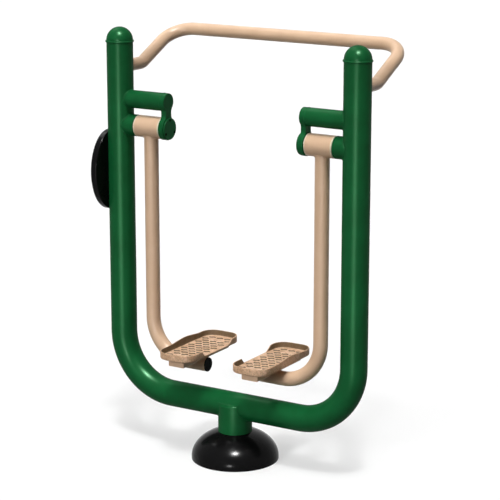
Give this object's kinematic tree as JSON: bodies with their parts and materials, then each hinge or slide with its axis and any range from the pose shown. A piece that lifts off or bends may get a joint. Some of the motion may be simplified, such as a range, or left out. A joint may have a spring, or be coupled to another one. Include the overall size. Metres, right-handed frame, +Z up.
{
  "type": "outdoor air walker",
  "caption": "Outdoor air walker: a green U frame on one covered foot, a bent handlebar, and free-swinging bent legs with tray pedals under short support arms.",
  "frame": {"origin": "centre of the ground flange's underside, on the ground", "axes": "+Z up; X across the machine through both posts; +Y the way the user faces, towards the handlebar"},
  "size_m": [1.004, 0.5155, 1.4254],
  "materials": {
    "green_powder_coat": "semi-gloss powder coat on steel",
    "beige_powder_coat": "semi-gloss powder coat on steel",
    "beige_cast_aluminium": "powder-coated casting",
    "black_gloss_moulding": "glossy moulding",
    "black_plastic": "fine moulded texture",
    "black_rubber": "moulded rubber",
    "hot_dip_zinc": "hot-dip galvanised",
    "stainless_steel": "plain stainless",
    "zinc_plated_steel": "zinc plated",
    "ground_steel": "ground bright steel",
    "pressed_steel": "pressed sheet"
  },
  "bodies": {
    "frame": {"base_flange": "hot_dip_zinc", "base_gussets": "hot_dip_zinc", "pedestal_tube": "green_powder_coat", "base_cover": "black_gloss_moulding", "main_frame": "green_powder_coat", "handlebar": "beige_powder_coat", "sign_plate": "black_gloss_moulding", "sign_plate_screws": "stainless_steel", "sign_plate_inserts": "zinc_plated_steel", "left_post_cap": "green_powder_coat", "left_support_arm": "green_powder_coat", "left_hub_boss": "green_powder_coat", "left_link_plate": "green_powder_coat", "left_link_cap": "green_powder_coat", "left_link_cap_screws": "green_powder_coat", "left_axle": "ground_steel", "left_axle_nut": "zinc_plated_steel", "left_axle_collars": "ground_steel", "left_axle_spacer": "ground_steel", "left_inner_races": "ground_steel", "right_post_cap": "green_powder_coat", "right_support_arm": "green_powder_coat", "right_hub_boss": "green_powder_coat", "right_link_plate": "green_powder_coat", "right_link_cap": "green_powder_coat", "right_link_cap_screws": "green_powder_coat", "right_axle": "ground_steel", "right_axle_nut": "zinc_plated_steel", "right_axle_collars": "ground_steel", "right_axle_spacer": "ground_steel", "right_inner_races": "ground_steel"},
    "left_leg": {"left_hub_sleeve": "beige_powder_coat", "left_outer_races": "ground_steel", "left_hub_circlips": "zinc_plated_steel", "left_hub_seals": "black_rubber", "left_stop_ring": "ground_steel", "left_stop_pads": "black_rubber", "left_leg_tube": "beige_powder_coat", "left_end_plug": "black_plastic", "left_pedal_bearer": "beige_powder_coat", "left_pedal": "beige_cast_aluminium", "left_pedal_bolts": "beige_powder_coat", "left_pedal_nuts": "zinc_plated_steel"},
    "left_ball_set": {"left_bearing_balls": "ground_steel", "left_ball_cages": "pressed_steel"},
    "right_leg": {"right_hub_sleeve": "beige_powder_coat", "right_outer_races": "ground_steel", "right_hub_circlips": "zinc_plated_steel", "right_hub_seals": "black_rubber", "right_stop_ring": "ground_steel", "right_stop_pads": "black_rubber", "right_leg_tube": "beige_powder_coat", "right_end_plug": "black_plastic", "right_pedal_bearer": "beige_powder_coat", "right_pedal": "beige_cast_aluminium", "right_pedal_bolts": "beige_powder_coat", "right_pedal_nuts": "zinc_plated_steel"},
    "right_ball_set": {"right_bearing_balls": "ground_steel", "right_ball_cages": "pressed_steel"}
  },
  "joints": [
    {"name": "left_leg_swing", "type": "hinge", "parent": "frame", "child": "left_leg", "pos_m": [0, 0, 1.099], "axis": [1, 0, 0], "range_deg": [-45, 45]},
    {"name": "right_leg_swing", "type": "hinge", "parent": "frame", "child": "right_leg", "pos_m": [0, 0, 1.099], "axis": [1, 0, 0], "range_deg": [-45, 45]},
    {"name": "left_ball_roll", "type": "hinge", "parent": "frame", "child": "left_ball_set", "pos_m": [0, 0, 1.099], "axis": [1, 0, 0], "range_deg": [-28, 28]},
    {"name": "right_ball_roll", "type": "hinge", "parent": "frame", "child": "right_ball_set", "pos_m": [0, 0, 1.099], "axis": [1, 0, 0], "range_deg": [-28, 28]}
  ],
  "couplings": [
    {"joint": "left_ball_roll", "follows": "left_leg_swing", "ratio": 0.6035},
    {"joint": "right_ball_roll", "follows": "right_leg_swing", "ratio": 0.6035}
  ]
}
